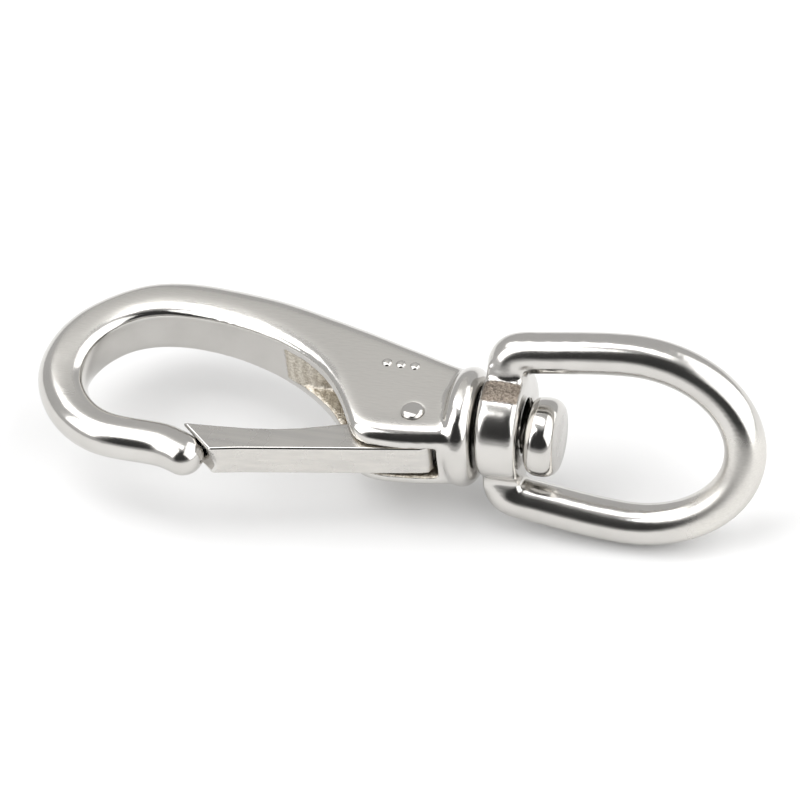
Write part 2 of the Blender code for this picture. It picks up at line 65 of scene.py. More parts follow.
MM = 0.001
UP = Vector((0.0, 0.0, 1.0))

# Where the hook's own frame sits: the stud turns about the swivel axis, and its tail starts
# STUD_TAIL_X[0] from the collar's middle.
STUD_TAIL_X = (-3.1, -2.45)
STUD_LOW, STUD_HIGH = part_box("swivel_stud")
ORIGIN = Vector((
    STUD_LOW[0] - STUD_TAIL_X[0] * MM,
    0.5 * (STUD_LOW[1] + STUD_HIGH[1]),
    0.5 * (STUD_LOW[2] + STUD_HIGH[2]),
))

# Camera and studio ------------------------------------------------------------------------
CAMERA_AZIMUTH = 20.2            # degrees round from the gate's side towards the eye
CAMERA_ELEVATION = 47.0
CAMERA_ROLL = 7.45
CAMERA_DISTANCE = 700.0
CAMERA_LENS = 241.0
CAMERA_SENSOR = 36.0
CAMERA_CLIP_START = 0.01         # metres
CAMERA_AIM = (-8.876, 3.464)     # right and up of the collar's middle, as the camera sees it

TENT_GREY = 0.76                 # radiance of the light tent's walls
TENT_DARK = 0.05                 # and of the dark gap that the camera looks through
GAP_CENTRE = (-82.0, 38.0)       # the gap's direction: azimuth, elevation in degrees
GAP_HALF_SIZE = (41.0, 30.0)
GAP_EDGE = 7.0
# Soft boxes: azimuth and elevation in degrees, width and height in metres, radiance.
SOFT_BOXES = {
    "softbox_left": (-147.0, 42.0, 0.37, 0.58, 2.6),
    "softbox_top": (165.0, 70.0, 0.24, 0.70, 2.8),
    "softbox_right": (3.0, 38.0, 1.15, 0.80, 1.9),
}
SOFT_BOX_DISTANCE = 0.62
FLOOR_RADIUS = 2.5
FLOOR_GAP = 0.0002               # metres between the lowest point of the CAD and the floor
FLOOR_COLOUR = (0.80, 0.80, 0.80)
FLOOR_ROUGHNESS = 0.9
FLOOR_SPECULAR = 0.1

# Metals -----------------------------------------------------------------------------------
POLISHED = (0.62, 0.605, 0.58)
POLISHED_WORN = (0.56, 0.545, 0.52)
SATIN = (0.71, 0.69, 0.65)
SATIN_WORN = (0.63, 0.61, 0.575)
SLOT_SKIN = ((0.74, 0.70, 0.62), (0.42, 0.37, 0.30))  # light and dark of the raw cast skin
RING_SKIN = ((0.27, 0.23, 0.19), (0.08, 0.065, 0.055))
WIRE = (0.46, 0.45, 0.44)
# Roughness, from the smoothest spots to the most worn.
HOOK_POLISH = (0.12, 0.18)
EYE_POLISH = (0.14, 0.21)
SATIN_ROUGHNESS = (0.29, 0.37)
SKIN_ROUGHNESS = 0.36
GATE_FLAT_ROUGHNESS = (0.25, 0.31)
GATE_EDGE_ROUGHNESS = 0.10
STUD_SIDE_ROUGHNESS = (0.09, 0.16)
STUD_FACE_ROUGHNESS = (0.20, 0.30)
WIRE_ROUGHNESS = (0.24, 0.36)
# Streaks are noise drawn out along the axis with the smallest number.
HOOK_STREAKS = (0.12, 1.0, 1.0)
EYE_STREAKS = (0.3, 1.0, 1.0)
GATE_STREAKS = (0.03, 1.0, 1.0)
STUD_RINGS = (1.0, 0.05, 0.05)
NOISE_SPAN = (0.3, 0.7)          # the range that most of a noise falls in
SLOT_RIPPLE_SHARE = 0.16         # how much the slot's ripples add to its stains

# Hook body --------------------------------------------------------------------------------
# Cross-sections from the nose tip, round the bow and along the spine to the neck.
# inner, outer: the section's two edges in plan; half: half its thickness; flat: half height
# of the flat inner face; bulge: how far that face swells; r_in, r_out: how far the top takes
# to round over on each side; side: half height of the upright outer side; crown: 0.5 round
# shoulder, 1 shallow one.
SECTION_KEYS = ("inner", "outer", "half", "flat", "bulge", "r_in", "r_out", "side", "crown")
SECTIONS = (
    ((-34.55, -8.90), (-36.80, -13.95), 2.75, 0.30, 0.02, 2.70, 2.70, 0.10, 0.50),
    ((-37.60, -7.55), (-38.80, -13.15), 2.85, 0.30, 0.02, 2.80, 2.80, 0.10, 0.50),
    ((-40.60, -7.25), (-41.00, -12.95), 2.85, 0.30, 0.02, 2.80, 2.80, 0.10, 0.50),
    ((-43.80, -7.20), (-43.80, -12.90), 2.85, 0.30, 0.02, 2.80, 2.80, 0.10, 0.50),
    ((-46.90, -6.90), (-48.30, -12.50), 2.90, 0.50, 0.05, 2.80, 2.80, 0.10, 0.50),
    ((-49.30, -5.60), (-52.70, -10.40), 3.00, 1.20, 0.25, 2.80, 2.95, 0.15, 0.52),
    ((-51.00, -3.60), (-56.40, -6.80), 3.15, 1.90, 0.50, 2.70, 3.10, 0.20, 0.58),
    ((-52.00, -1.20), (-58.80, -2.10), 3.30, 2.30, 0.60, 2.80, 3.20, 0.25, 0.65),
    ((-52.00, 1.90), (-58.98, 2.98), 3.60, 2.45, 0.45, 2.50, 3.40, 0.30, 0.62),
    ((-50.90, 4.90), (-57.23, 8.21), 3.80, 2.60, 0.30, 2.60, 3.60, 0.30, 0.60),
    ((-48.70, 7.60), (-53.62, 12.33), 3.95, 2.80, 0.20, 2.70, 3.60, 0.30, 0.60),
    ((-45.60, 9.30), (-48.86, 15.62), 4.10, 3.00, 0.05, 2.90, 3.60, 0.30, 0.62),
    ((-42.00, 9.90), (-43.53, 17.00), 4.15, 3.10, 0.00, 3.10, 3.60, 0.30, 0.68),
    ((-38.00, 9.80), (-38.19, 17.05), 4.15, 3.25, 0.00, 3.20, 3.60, 0.35, 0.78),
    ((-34.00, 9.20), (-32.83, 16.41), 4.25, 3.45, 0.00, 3.20, 3.50, 0.50, 0.88),
    ((-30.00, 8.10), (-27.53, 15.41), 4.40, 3.65, 0.00, 3.10, 3.30, 0.80, 0.90),
    ((-26.00, 6.50), (-22.50, 13.75), 4.62, 3.90, 0.00, 2.90, 3.10, 1.20, 0.80),
    ((-22.00, 4.10), (-17.90, 12.15), 4.90, 4.15, 0.00, 2.50, 2.90, 1.70, 0.66),
    ((-19.00, 1.50), (-14.10, 10.75), 5.10, 4.45, 0.00, 2.40, 2.70, 2.10, 0.55),
    ((-16.60, -1.60), (-10.90, 9.55), 5.20, 4.50, 0.00, 2.20, 2.60, 2.40, 0.50),
    ((-14.80, -4.80), (-8.30, 8.65), 5.25, 4.30, 0.00, 2.20, 2.50, 2.60, 0.50),
    ((-13.30, -7.20), (-6.10, 7.95), 5.25, 3.70, 0.00, 2.60, 2.50, 2.60, 0.50),
    ((-10.80, -8.00), (-4.50, 7.40), 5.25, 3.20, 0.00, 2.90, 2.50, 2.60, 0.50),
    ((-6.60, -7.85), (-3.20, 7.05), 5.25, 3.10, 0.00, 2.90, 2.50, 2.60, 0.50),
    ((-2.90, -7.30), (-2.10, 6.70), 5.25, 3.10, 0.00, 2.90, 2.50, 2.60, 0.50),
    ((-0.60, -6.90), (-0.60, 6.50), 5.25, 3.10, 0.00, 2.90, 2.50, 2.60, 0.50),
)
SECTION_STEPS = 6
SECTION_SMOOTHING = 10           # passes that take small kinks out of the loft
FACE_STEPS = 2                   # from the middle of the flat inner face to its rim
SHOULDER_STEPS = 10
NOSE_CAP_STEPS = 10
NOSE_RADIUS = 2.75

COLLAR_RADIUS = 7.95
COLLAR_HALF_LENGTH = 2.0
COLLAR_END_RADIUS = 3.2
COLLAR_STEPS = 24
NECK_RADIUS = 6.0
NECK_LENGTH = 1.3
NECK_TAPER = 1.2                 # the fillet cone narrows by this inside the head
NECK_FILLET = 0.35

SLOT_START_X = -27.2
SLOT_END_X = -2.4
SLOT_FLOOR_Y = 6.1
SLOT_FLOOR_FALL = 0.4            # of the nearly level part, as far as the break
SLOT_FLOOR_BREAK_X = -15.5
SLOT_FLOOR_NECK_Y = 3.4
SLOT_HALF_WIDTH = 2.75
SLOT_RIPPLE_PITCH = 1.35         # the casting core left ripples across the slot's floor
SLOT_RIPPLE_HEIGHT = 0.16
SLOT_FLOOR_STEPS = 110
SLOT_TOOL_REACH = 3.0            # the tool runs on into the open throat,
SLOT_TOOL_DROP = 0.3             # a little below the floor's start,
SLOT_TOOL_START_Y = -12.0        # and comes in from outside on the gate's side

PIN = Vector((-6.2, -3.2, 0.0))
PIN_RADIUS = 0.95
PIN_HOLE_RADIUS = 1.15
PIN_HOLE_REACH = 8.0
PIN_HEAD_RADIUS = 1.5
PIN_HEAD_HEIGHT = 0.5
PIN_HEAD_STEPS = 9
PIN_SHARP_ANGLE = 50.0
CHEEK_HALF_THICKNESS = 5.25
PIN_SEAT_GAP = 0.04

SIZE_PIP_COUNT = 3
SIZE_PIP_PITCH = 1.9
SIZE_PIP_RADIUS = 0.62
SIZE_PIP_HEIGHT = 0.25
SIZE_PIP_CENTRE = (-9.8, 4.6)
SIZE_PIP_FOOT_RADIUS = 1.15 * SIZE_PIP_RADIUS
SIZE_PIP_ROOT = -0.4             # each pip starts inside the cheek,
SIZE_PIP_FOOT = -0.02            # is widest just under its surface
SIZE_PIP_RIM = 0.04              # and domes over from just above it
SIZE_PIP_STEPS = 7
SIZE_PIP_FACETS = 28

CAST_VOXEL = 0.28                # cast pieces are remeshed at this size, then smoothed,
CAST_SMOOTHING = 12              # which rounds their edges as casting and tumbling do
CAST_SMOOTHING_FACTOR = 0.5
TURNED_FACETS = 96
ROD_FACETS = 48

# Where the hook's flat sides are satin. Flatness is how far a normal points up or down.
HOOK_SATIN_FLATNESS = (0.90, 0.985)
HOOK_SATIN_SPINE_RISE = (0.07, 0.011)  # the rounder spine has to be flatter than that
HOOK_SATIN_SPINE_X = (-50.0, -42.0)
HOOK_SATIN_SPINE_Y = (-3.0, 3.0)
HOOK_SATIN_FADE_Y = (-9.0, -3.0)  # it fades out towards the nose, down to the least share
HOOK_SATIN_LEAST = 0.35
# Where the slot keeps its raw cast skin.
SLOT_SKIN_MARGIN = 0.5           # past the slot's two ends
SLOT_WALL_FACING = (0.4, 0.8)    # how squarely a wall faces the mid plane
SLOT_WALL_FADE = 0.4
SLOT_FLOOR_FADE = (0.4, 0.9)     # above or below the floor
SLOT_FLOOR_RIM = (0.3, 0.1)      # past the walls, and short of them

# Gate -------------------------------------------------------------------------------------
GATE_HALF_THICKNESS = 2.45
GATE_OUTLINE = (
    (-31.80, -11.95), (-28.00, -11.15), (-22.00, -10.12), (-16.00, -9.10), (-10.00, -8.08),
    (-4.60, -7.16), (-3.75, -6.85), (-3.25, -6.10), (-3.15, -5.10), (-3.20, -3.20),
    (-3.45, -2.00), (-4.30, -0.90), (-5.50, -0.35), (-6.90, -0.35), (-8.20, -0.95),
    (-10.20, -2.10), (-12.60, -3.30), (-15.00, -4.25), (-18.00, -5.25), (-21.00, -6.15),
    (-24.00, -6.80), (-28.00, -7.35), (-32.00, -7.65), (-36.50, -7.90),
)
GATE_EDGE_BREAK = 0.50
GATE_EDGE_STEPS = 6
GATE_EDGE_ANGLE = 40.0           # edges sharper than this are broken
NOSE_SADDLE_RADIUS = 3.12
NOSE_SADDLE_START = (-38.6, -9.35)
NOSE_SADDLE_END = (-30.5, -16.25)
NOSE_SADDLE_FACETS = 72
GATE_FORK_HALF_WIDTH = 1.5
GATE_FORK_X = (-13.0, -2.0)
GATE_FORK_Y = (-5.75, 1.0)
GATE_FORK_SLOPE = 1.3
GATE_PIN_HOLE_RADIUS = 1.2
GATE_PIN_HOLE_REACH = 4.0
GATE_SATIN_FLATNESS = (0.985, 0.999)

# Gate spring ------------------------------------------------------------------------------
WIRE_RADIUS = 0.3
COIL_RADIUS = 1.7
COIL_HEIGHT = 1.9
COIL_START_ANGLE = 279.0
COIL_SWEEP_ANGLE = 861.0
COIL_STEPS = 150
GATE_LEG_SWEEP = 45.0            # this much of the coil moves with the gate's leg
GATE_LEG_LENGTH = 5.2
GATE_LEG_STEPS = 12
SLOT_LEG_LENGTH = 10.6
WIRE_FACETS = 16
WIRE_SHARP_ANGLE = 60.0

# Swivel stud ------------------------------------------------------------------------------
STUD_RADIUS = 2.1
STUD_BORE_RADIUS = 2.35
STUD_BORE_REACH = 4.0
STUD_TAIL_RADIUS = 2.45
STUD_TAIL_CHAMFER = 0.3
STUD_TAIL_NECK = 0.1
STUD_HEAD_STEPS = 4
STUD_SHARP_ANGLE = 32.0
STUD_HEAD_PROFILE = (             # the button's rounded side: distance along the axis, radius
    (8.45, 4.25), (8.75, 4.80), (9.50, 5.17), (10.40, 5.25), (11.30, 5.15), (12.00, 4.80),
    (12.38, 4.35), (12.50, 3.95),
)
STUD_SATIN_FACING = (0.9, 0.99)  # the button's face is satin: how squarely it faces the eye,
STUD_SATIN_DEPTH = (0.65, 0.05)  # and how far below the face the satin starts and is full

# Swivel eye -------------------------------------------------------------------------------
EYE_TURN = 64.0                  # degrees from the hook's flat side
EYE_LOOSENESS = 1.2              # sideways shift in its loose bore, towards the upper leg
EYE_RING_X = (2.45, 7.95)
EYE_RING_RADIUS = 7.4
EYE_RING_BORE_RADIUS = 3.6
EYE_RING_BORE_REACH = 2.0
EYE_RING_BORE_FACETS = 64
EYE_RING_EDGE = 0.9
EYE_RING_EDGE_STEPS = 8
EYE_RING_FACE_DROP = 0.3
EYE_BAR_RADIUS = 2.8
# Centre line of one leg: distance along the axis, away from the axis, and the bar's radius.
EYE_LEG = (
    (5.20, 5.20, 2.60), (5.15, 6.60, 2.65), (5.15, 7.60, 2.80), (5.20, 8.60, 2.85),
    (5.75, 9.60, 2.80), (7.10, 10.15, 2.80), (9.60, 10.45, 2.80), (13.00, 10.90, 2.80),
    (17.50, 11.45, 2.80),
)
EYE_END_CENTRE_X = 22.0
EYE_END_SEMI_LENGTH = 15.1
EYE_END_HALF_WIDTH = 11.75
EYE_END_STEPS = 44
EYE_LEG_STEPS = 6
EYE_BAR_FACETS = 40
EYE_BOW_SMOOTHING = 4            # passes along the bow's centre line
EYE_VOXEL = 0.27
EYE_SMOOTHING = 24               # more than on the hook, as the eye is buffed smoother
EYE_WEB_X = (2.75, 7.60)         # each leg grows out of a flat web as wide as the ring
EYE_WEB_REACH = (4.6, 8.8)
EYE_WEB_HALF_THICKNESS = 2.40
EYE_SATIN_X = (27.0, 33.0)       # the polish fades out towards the closed end
EYE_SATIN_BELOW = (-5.5, -1.5)   # and below its upper corner
EYE_SATIN_SHARE = 0.9
RAW_PATCH_ANGLES = (20.0, 26.0, 43.0, 51.0)  # rough cast skin beside one leg, degrees from it
RAW_PATCH_MARGIN = 0.5           # past the ring's end
RAW_PATCH_FACING = (0.5, 0.9)    # how squarely the skin faces away from the axis


# Mesh helpers -----------------------------------------------------------------------------
def place(point):
    """A point in the hook's own frame, in millimetres, as metres in the row's frame."""
    return ORIGIN + Vector(point) * MM


def add_piece(name, mesh_bm):
    """Turns a bmesh in hook millimetres into a linked, smoothly shaded object."""
    bmesh.ops.recalc_face_normals(mesh_bm, faces=mesh_bm.faces)
    for vert in mesh_bm.verts:
        vert.co = place(vert.co)
    mesh = bpy.data.meshes.new(name)
    mesh_bm.to_mesh(mesh)
    mesh_bm.free()
    for polygon in mesh.polygons:
        polygon.use_smooth = True
    obj = bpy.data.objects.new(name, mesh)
    bpy.context.scene.collection.objects.link(obj)
    return obj


def add_boolean(target, other, operation):
    modifier = target.modifiers.new(other.name, "BOOLEAN")
    modifier.operation = operation
    modifier.solver = "EXACT"
    modifier.object = other
    other.hide_render = True


def add_skin(obj, voxel):
    """Makes one even skin round everything in the mesh."""
    remesh = obj.modifiers.new("cast_skin", "REMESH")
    remesh.mode = "VOXEL"
    remesh.voxel_size = voxel * MM


def add_cast_finish(obj, voxel, passes):
    """Rounds every edge and inside corner a little, as on a tumbled casting."""
    add_skin(obj, voxel)
    smoothing = obj.modifiers.new("cast_smoothing", "SMOOTH")
    smoothing.factor = CAST_SMOOTHING_FACTOR
    smoothing.iterations = passes


def apply_modifiers(obj):
    """Replaces the object's mesh with what its modifiers make of it."""
    depsgraph = bpy.context.evaluated_depsgraph_get()
    finished = bpy.data.meshes.new_from_object(obj.evaluated_get(depsgraph))
    helpers = [m.object for m in obj.modifiers if m.type == "BOOLEAN"]
    obj.modifiers.clear()
    obj.data = finished
    for polygon in finished.polygons:
        polygon.use_smooth = True
    for helper in helpers:
        bpy.data.objects.remove(helper)


def catmull_rom(p0, p1, p2, p3, t):
    """Point between p1 and p2 on the smooth curve through four values or vectors."""
    return 0.5 * (2.0 * p1 + (p2 - p0) * t + (2.0 * p0 - 5.0 * p1 + 4.0 * p2 - p3) * t * t
                  + (3.0 * p1 - p0 - 3.0 * p2 + p3) * t * t * t)


def smooth_path(points, steps):
    """Points on the smooth curve through the given ones, with `steps` between each pair."""
    count = len(points)
    path = []
    for i in range(count - 1):
        before = points[max(i - 1, 0)]
        after = points[min(i + 2, count - 1)]
        for k in range(steps):
            path.append(catmull_rom(before, points[i], points[i + 1], after, k / steps))
    path.append(points[-1].copy())
    return path


def bridge_rings(mesh_bm, rings):
    """Skins a list of equally long closed vertex rings."""
    for ring, following in zip(rings, rings[1:]):
        for i in range(len(ring)):
            j = (i + 1) % len(ring)
            mesh_bm.faces.new((ring[i], ring[j], following[j], following[i]))


def ring_middle(ring):
    return sum((v.co for v in ring), Vector()) / len(ring)


def cap_ring(mesh_bm, ring):
    """Closes a ring with a fan around its middle."""
    centre = mesh_bm.verts.new(ring_middle(ring))
    for i in range(len(ring)):
        mesh_bm.faces.new((ring[i], ring[(i + 1) % len(ring)], centre))


def closed_skin(mesh_bm, rings):
    bridge_rings(mesh_bm, rings)
    cap_ring(mesh_bm, rings[0])
    cap_ring(mesh_bm, rings[-1])


def shade_sharp(obj, degrees):
    """Keeps the shading crisp across edges that turn by more than this."""
    obj.data.set_sharp_from_angle(angle=math.radians(degrees))


def turned_skin(mesh_bm, profile, facets, centre=Vector(), axis="X"):
    """Adds a solid of revolution. The profile lists (distance along the axis, radius)."""
    rings = []
    for along, radius in profile:
        ring = []
        for k in range(facets):
            angle = 2.0 * math.pi * k / facets
            across, up = radius * math.cos(angle), radius * math.sin(angle)
            offset = (along, across, up) if axis == "X" else (across, up, along)
            ring.append(mesh_bm.verts.new(centre + Vector(offset)))
        rings.append(ring)
    closed_skin(mesh_bm, rings)


def turned(name, profile, facets, centre=Vector(), axis="X"):
    mesh_bm = bmesh.new()
    turned_skin(mesh_bm, profile, facets, centre, axis)
    return add_piece(name, mesh_bm)


def rod(name, start, end, radius, facets=ROD_FACETS):
    """Plain cylinder between two points, used to cut holes."""
    axis = end - start
    mesh_bm = bmesh.new()
    bmesh.ops.create_cone(mesh_bm, cap_ends=True, segments=facets, radius1=radius,
                          radius2=radius, depth=axis.length)
    turn = axis.to_track_quat("Z", "Y").to_matrix().to_4x4()
    shift = Matrix.Translation((start + end) / 2.0)
    bmesh.ops.transform(mesh_bm, matrix=shift @ turn, verts=mesh_bm.verts)
    return add_piece(name, mesh_bm)


def prism(outline, half_height):
    """Upright prism over a plan outline, centred on the hook's mid plane."""
    mesh_bm = bmesh.new()
    ring = [mesh_bm.verts.new((x, y, -half_height)) for x, y in outline]
    bottom = mesh_bm.faces.new(ring)
    lifted = bmesh.ops.extrude_face_region(mesh_bm, geom=[bottom])
    raised = [v for v in lifted["geom"] if isinstance(v, bmesh.types.BMVert)]
    bmesh.ops.translate(mesh_bm, vec=(0.0, 0.0, 2.0 * half_height), verts=raised)
    return mesh_bm


def swept_bar(mesh_bm, path, radii, facets, up):
    """Round bar along a path. `up` is a direction that the path never follows."""
    rings = []
    for i, (point, radius) in enumerate(zip(path, radii)):
        ahead = path[min(i + 1, len(path) - 1)] - path[max(i - 1, 0)]
        tangent = ahead.normalized()
        side = tangent.cross(up).normalized()
        top = side.cross(tangent)
        ring = []
        for k in range(facets):
            angle = 2.0 * math.pi * k / facets
            offset = side * math.cos(angle) + top * math.sin(angle)
            ring.append(mesh_bm.verts.new(point + offset * radius))
        rings.append(ring)
    closed_skin(mesh_bm, rings)


def ramp(value, low, high):
    """0 below low, 1 above high, smooth between."""
    t = min(max((value - low) / (high - low), 0.0), 1.0)
    return t * t * (3.0 - 2.0 * t)


def paint(obj, layer, rule):
    """Writes rule(point, normal), in hook millimetres, to a per-vertex layer."""
    values = obj.data.attributes.new(layer, "FLOAT", "POINT")
    for i, vert in enumerate(obj.data.vertices):
        point = (vert.co - ORIGIN) / MM
        values.data[i].value = rule(point, vert.normal)


# Hook body --------------------------------------------------------------------------------
def shoulder_height(low, high, crown, part):
    """Height of a rounded shoulder after `part` (0 to 1) of its run."""
    return low + (high - low) * (1.0 - (1.0 - part) ** 2) ** crown


def section_points(dims):
    """Closed outline (distance from the inner edge, height) of one hook cross-section."""
    width = (dims["outer"] - dims["inner"]).length
    face_half = dims["flat"]
    points = []
    for k in range(-FACE_STEPS, FACE_STEPS + 1):
        part = k / FACE_STEPS
        points.append((dims["bulge"] * part ** 2, face_half * part))
    upper = []
    for k in range(1, SHOULDER_STEPS + 1):
        part = 1.0 - math.cos(0.5 * math.pi * k / SHOULDER_STEPS)
        run = dims["bulge"] + (dims["r_in"] - dims["bulge"]) * part
        upper.append((run, shoulder_height(face_half, dims["half"], dims["crown"], part)))
    upper.append((0.5 * (dims["r_in"] + width - dims["r_out"]), dims["half"]))
    for k in range(SHOULDER_STEPS + 1):
        angle = 0.5 * math.pi * k / SHOULDER_STEPS
        run = width - dims["r_out"] * (1.0 - math.sin(angle))
        height = dims["side"] + (dims["half"] - dims["side"]) * math.cos(angle)
        upper.append((run, height))
    points.extend(upper)
    points.extend((run, -height) for run, height in reversed(upper))
    return points


def smoothed(values, passes):
    """Averages each value with its neighbours, keeping the two ends."""
    for _ in range(passes):
        inner = [(a + b * 2.0 + c) * 0.25 for a, b, c in zip(values, values[1:], values[2:])]
        values = [values[0]] + inner + [values[-1]]
    return values


def section_stations():
    """Cross-sections with smooth in-between ones."""
    columns = {}
    for column, key in enumerate(SECTION_KEYS):
        raw = [row[column] for row in SECTIONS]
        if key in ("inner", "outer"):
            raw = [Vector(value) for value in raw]
        dense = []
        for i in range(len(raw) - 1):
            corners = (raw[max(i - 1, 0)], raw[i], raw[i + 1], raw[min(i + 2, len(raw) - 1)])
            for k in range(SECTION_STEPS):
                dense.append(catmull_rom(*corners, k / SECTION_STEPS))
        dense.append(raw[-1])
        columns[key] = smoothed(dense, SECTION_SMOOTHING)
    count = len(columns["half"])
    return [{key: column[i] for key, column in columns.items()} for i in range(count)]


def hook_loft():
    """Nose, bow, spine and head as one skin, with a round cap on the nose."""
    mesh_bm = bmesh.new()
    rings = []
    for dims in section_stations():
        across = (dims["outer"] - dims["inner"]).normalized()
        ring = []
        for run, height in section_points(dims):
            plan = dims["inner"] + across * run
            ring.append(mesh_bm.verts.new((plan.x, plan.y, height)))
        rings.append(ring)
    first = rings[0]
    centre = ring_middle(first)
    face_rims = (first[0].co - centre, first[2 * FACE_STEPS].co - centre)
    normal = face_rims[0].cross(face_rims[1]).normalized()
    ahead = centre - ring_middle(rings[1])
    forward = normal if normal.dot(ahead) > 0.0 else -normal
    cap_rings = []
    for k in range(1, NOSE_CAP_STEPS):
        angle = 0.5 * math.pi * k / NOSE_CAP_STEPS
        rise = forward * NOSE_RADIUS * math.sin(angle)
        ring = []
        for vert in first:
            offset = (vert.co - centre) * math.cos(angle)
            ring.append(mesh_bm.verts.new(centre + offset + rise))
        cap_rings.append(ring)
    closed_skin(mesh_bm, cap_rings[::-1] + rings)
    return mesh_bm


def collar_profile():
    """Rounded flange with a short fillet cone on the head's side."""
    profile = [(-COLLAR_HALF_LENGTH - NECK_LENGTH, NECK_RADIUS - NECK_TAPER)]
    profile.append((-COLLAR_HALF_LENGTH - NECK_FILLET, NECK_RADIUS - NECK_FILLET))
    for k in range(COLLAR_STEPS + 1):
        angle = math.pi * k / COLLAR_STEPS
        x = -COLLAR_HALF_LENGTH * math.cos(angle)
        profile.append((x, COLLAR_RADIUS - COLLAR_HALF_LENGTH * (1.0 - math.sin(angle))))
    profile.append((COLLAR_HALF_LENGTH, COLLAR_END_RADIUS))
    return profile


def slot_floor_y(x):
    """Height of the slot's floor: nearly level, then falling to the neck."""
    start, middle = SLOT_FLOOR_Y, SLOT_FLOOR_Y - SLOT_FLOOR_FALL
    if x < SLOT_FLOOR_BREAK_X:
        part = (x - SLOT_START_X) / (SLOT_FLOOR_BREAK_X - SLOT_START_X)
        return start + (middle - start) * part
    part = (x - SLOT_FLOOR_BREAK_X) / (SLOT_END_X - SLOT_FLOOR_BREAK_X)
    return middle + (SLOT_FLOOR_NECK_Y - middle) * part


def slot_outline():
    """Plan of the pocket: open towards the gate, with ripples across its floor."""
    open_x = SLOT_START_X - SLOT_TOOL_REACH
    outline = [(open_x, SLOT_TOOL_START_Y), (SLOT_END_X, SLOT_TOOL_START_Y)]
    for k in range(SLOT_FLOOR_STEPS + 1):
        x = SLOT_END_X + (SLOT_START_X - SLOT_END_X) * k / SLOT_FLOOR_STEPS
        ripple = 0.5 + 0.5 * math.cos(2.0 * math.pi * x / SLOT_RIPPLE_PITCH)
        outline.append((x, slot_floor_y(x) - SLOT_RIPPLE_HEIGHT * ripple))
    outline.append((open_x, SLOT_FLOOR_Y - SLOT_TOOL_DROP))
    return outline


def satin_on_hook(point, normal):
    """How satin the metal is: the ground flat sides are, the tumbled bow and rims aren't."""
    along_spine = ramp(point.x, *HOOK_SATIN_SPINE_X) * ramp(point.y, *HOOK_SATIN_SPINE_Y)
    start = HOOK_SATIN_FLATNESS[0] + HOOK_SATIN_SPINE_RISE[0] * along_spine
    full = HOOK_SATIN_FLATNESS[1] + HOOK_SATIN_SPINE_RISE[1] * along_spine
    share = HOOK_SATIN_LEAST + (1.0 - HOOK_SATIN_LEAST) * ramp(point.y, *HOOK_SATIN_FADE_Y)
    return ramp(abs(normal.z), start, full) * share


def raw_on_hook(point, normal):
    """How much of the raw cast skin shows: inside the slot, where no wheel reaches."""
    if not SLOT_START_X - SLOT_SKIN_MARGIN < point.x < SLOT_END_X + SLOT_SKIN_MARGIN:
        return 0.0
    past_wall = abs(point.z) - SLOT_HALF_WIDTH
    faces_in = ramp(-normal.z * math.copysign(1.0, point.z), *SLOT_WALL_FACING)
    wall = faces_in * (1.0 - ramp(past_wall, 0.0, SLOT_WALL_FADE))
    off_floor = abs(point.y - slot_floor_y(point.x))
    beyond, short = SLOT_FLOOR_RIM
    floor = (1.0 - ramp(off_floor, *SLOT_FLOOR_FADE)) * (1.0 - ramp(past_wall, -short, beyond))
    return max(wall, floor)


def add_size_pips(obj):
    """Three shallow domes standing on the upper cheek."""
    profile = [(SIZE_PIP_ROOT, SIZE_PIP_FOOT_RADIUS), (SIZE_PIP_FOOT, SIZE_PIP_FOOT_RADIUS)]
    for step in range(SIZE_PIP_STEPS):
        angle = 0.5 * math.pi * step / SIZE_PIP_STEPS
        height = SIZE_PIP_RIM + (SIZE_PIP_HEIGHT - SIZE_PIP_RIM) * math.sin(angle)
        profile.append((height, SIZE_PIP_RADIUS * math.cos(angle)))
    mesh_bm = bmesh.new()
    for k in range(SIZE_PIP_COUNT):
        x = SIZE_PIP_CENTRE[0] + SIZE_PIP_PITCH * (k - (SIZE_PIP_COUNT - 1) / 2.0)
        spot = Vector((x, SIZE_PIP_CENTRE[1], CHEEK_HALF_THICKNESS))
        turned_skin(mesh_bm, profile, SIZE_PIP_FACETS, spot, axis="Z")
    for vert in mesh_bm.verts:
        vert.co = place(vert.co)
    bmesh.ops.recalc_face_normals(mesh_bm, faces=mesh_bm.faces)
    for face in mesh_bm.faces:
        face.smooth = True
    mesh_bm.from_mesh(obj.data)
    mesh_bm.to_mesh(obj.data)
    mesh_bm.free()


def build_hook_body():
    body = add_piece("hook_casting", hook_loft())
    add_boolean(body, turned("collar_tool", collar_profile(), TURNED_FACETS), "UNION")
    slot_tool = add_piece("slot_tool", prism(slot_outline(), SLOT_HALF_WIDTH))
    add_boolean(body, slot_tool, "DIFFERENCE")
    reach = UP * PIN_HOLE_REACH
    pin_hole = rod("pin_hole_tool", PIN - reach, PIN + reach, PIN_HOLE_RADIUS)
    add_boolean(body, pin_hole, "DIFFERENCE")
    bore_end = Vector((STUD_BORE_REACH, 0.0, 0.0))
    add_boolean(body, rod("bore_tool", -bore_end, bore_end, STUD_BORE_RADIUS), "DIFFERENCE")
    add_cast_finish(body, CAST_VOXEL, CAST_SMOOTHING)
    apply_modifiers(body)
    add_size_pips(body)
    paint(body, "satin", satin_on_hook)
    paint(body, "raw", raw_on_hook)
    return body


# Gate and its pin -------------------------------------------------------------------------
def satin_on_gate(point, normal):
    """The flats are ground. The rounded edges between them are buffed."""
    flatness = max(abs(normal.z), math.hypot(normal.x, normal.y))
    return ramp(flatness, *GATE_SATIN_FLATNESS)


